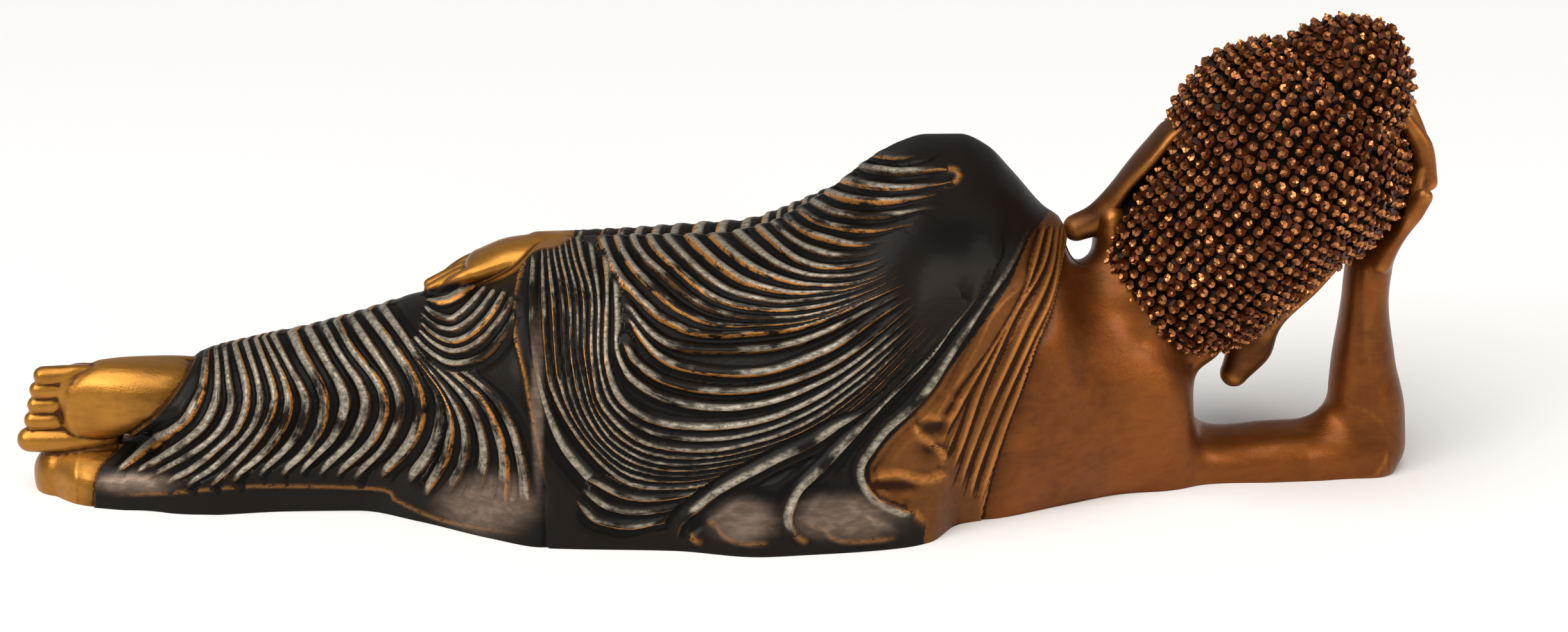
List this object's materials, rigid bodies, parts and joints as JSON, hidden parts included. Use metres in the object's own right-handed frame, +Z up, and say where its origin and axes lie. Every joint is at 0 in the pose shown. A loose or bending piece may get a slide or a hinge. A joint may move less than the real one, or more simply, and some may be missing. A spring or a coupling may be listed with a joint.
{
  "type": "reclining buddha statue",
  "caption": "Reclining Buddha statue lying on its right side, head propped on the right hand, with a folded robe, tight curls and bare feet.",
  "frame": {"origin": "on the flat underside, below the figure's waist", "axes": "+X from the feet to the propping elbow, +Y from the back to the face, +Z up from the surface it lies on"},
  "size_m": [0.2998, 0.0786, 0.0998],
  "materials": {
    "painted_resin": "black and bronze paint with silver and gold brushed over the raised folds"
  },
  "bodies": {
    "root": {"reclining_buddha": "painted_resin"}
  },
  "joints": []
}
